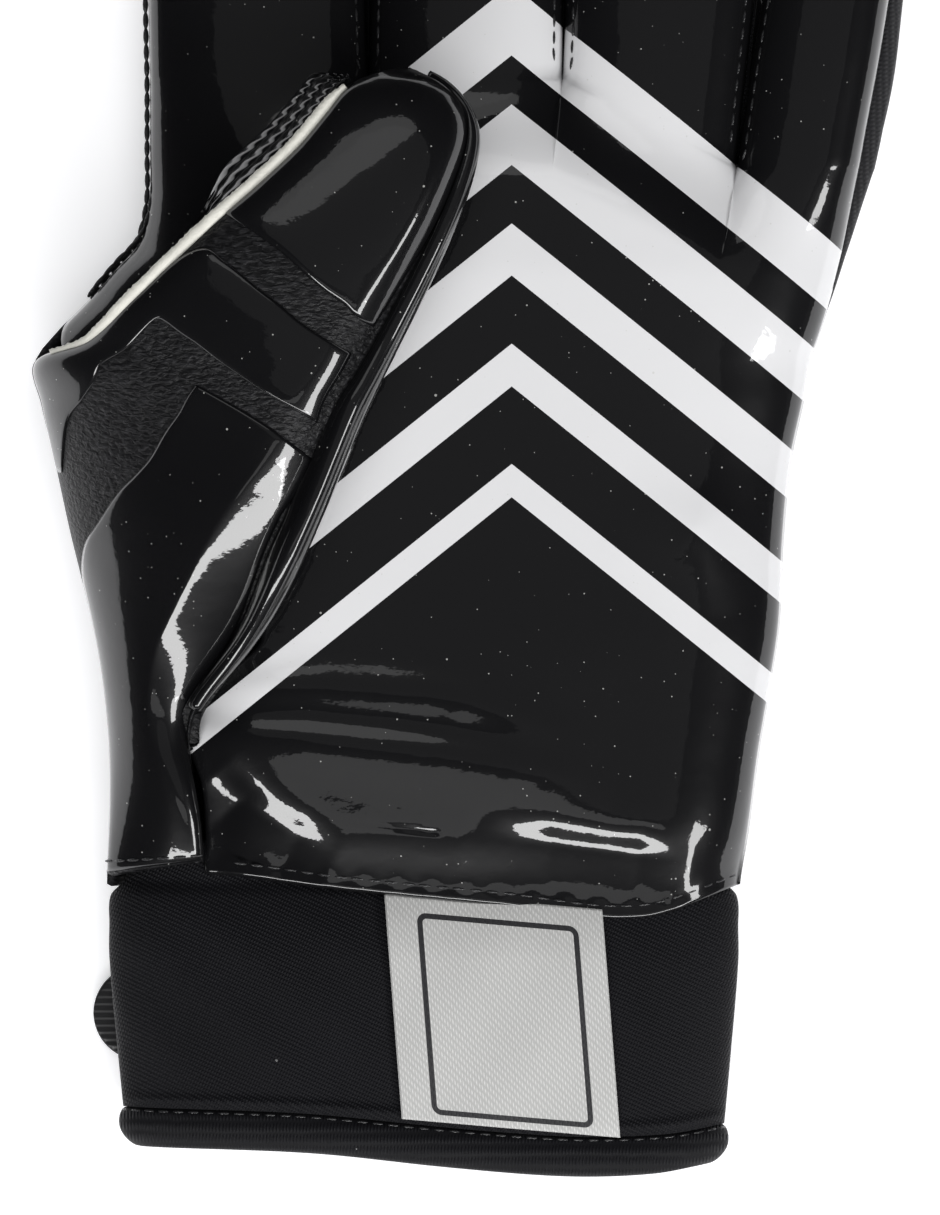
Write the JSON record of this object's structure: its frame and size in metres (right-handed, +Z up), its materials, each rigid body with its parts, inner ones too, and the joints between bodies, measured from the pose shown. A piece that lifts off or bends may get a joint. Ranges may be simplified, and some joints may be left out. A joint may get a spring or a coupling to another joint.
{
  "type": "football receiver glove",
  "caption": "Left-hand football receiver glove lying palm up, with a glossy grip palm, its thumb folded over the palm, a knit back and a soft wrist cuff.",
  "frame": {"origin": "middle of the bounding box in x and y, on the surface that the glove lies on", "axes": "+X across the hand away from the thumb, +Y towards the fingertips, +Z up out of the palm"},
  "size_m": [0.112, 0.219, 0.0355],
  "materials": {
    "grip_gloss": "patent gloss grip coating on a soft laminate",
    "back_knit": "matte stretch knit",
    "thumb_textured": "matte pebbled grip cloth",
    "core_white": "raw cut edge of the pale laminate",
    "cuff_knit": "fine twill knit",
    "binding_knit": "fine ribbed knit",
    "label_woven": "woven satin",
    "strap_black": "satin moulded"
  },
  "bodies": {
    "root": {"palm_panel": "grip_gloss", "back_panel": "back_knit", "thumb_cover": "thumb_textured", "thumb_front": "grip_gloss", "thumb_tip_pad": "grip_gloss", "thumb_mid_pad": "grip_gloss", "thumb_base_pad": "grip_gloss", "thumb_core_edge": "core_white", "cuff_band": "cuff_knit", "cuff_binding": "binding_knit", "label": "label_woven", "wrist_strap": "strap_black"}
  },
  "joints": []
}
